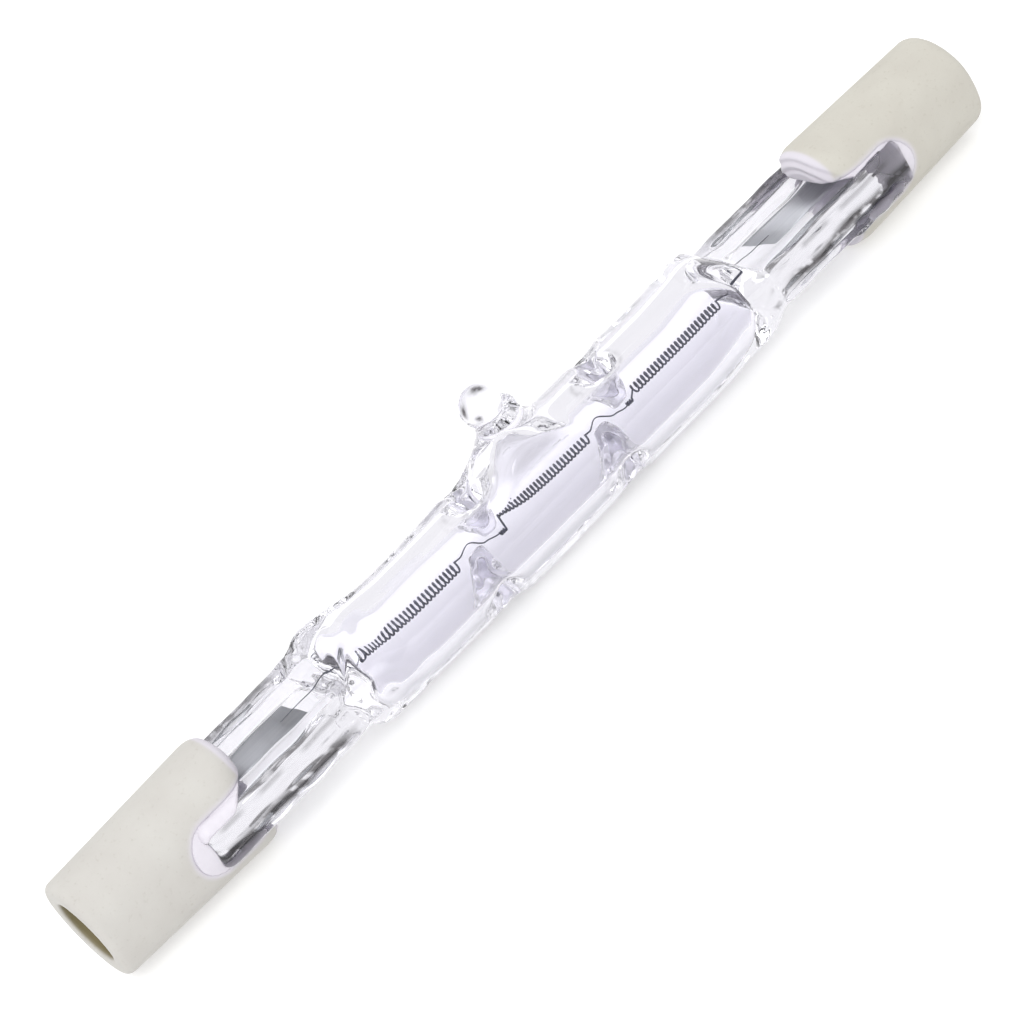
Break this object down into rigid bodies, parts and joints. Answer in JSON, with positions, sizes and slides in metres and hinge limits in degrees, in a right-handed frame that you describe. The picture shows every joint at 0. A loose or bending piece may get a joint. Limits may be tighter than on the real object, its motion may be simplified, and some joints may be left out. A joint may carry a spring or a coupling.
{
  "type": "linear halogen bulb",
  "caption": "Slender clear quartz bulb with a coiled filament along its axis, pinched flat ends and a ceramic cap with a recessed contact on each end.",
  "frame": {"origin": "on the lamp's axis, midway between the outer ends of the caps", "axes": "+X along the lamp's axis, towards the cap that is farther off in the picture; +Z square to the pinch flats, on the exhaust tip's side; +Y across the pinch flats"},
  "size_m": [0.0782, 0.0078, 0.0112],
  "materials": {
    "quartz": "clear, polished",
    "tungsten": "drawn wire, dark",
    "molybdenum_foil": "rolled, satin",
    "lead_wire": "drawn wire",
    "ceramic": "unglazed, matt",
    "cement": "fine, matt",
    "contact_metal": "plated, satin"
  },
  "bodies": {
    "root": {"quartz_envelope": "quartz", "filament": "tungsten", "foil_left": "molybdenum_foil", "foil_right": "molybdenum_foil", "outer_lead_left": "lead_wire", "outer_lead_right": "lead_wire", "ceramic_cap_left": "ceramic", "ceramic_cap_right": "ceramic", "cap_cement_left": "cement", "cap_cement_right": "cement", "contact_left": "contact_metal", "contact_right": "contact_metal"}
  },
  "joints": []
}
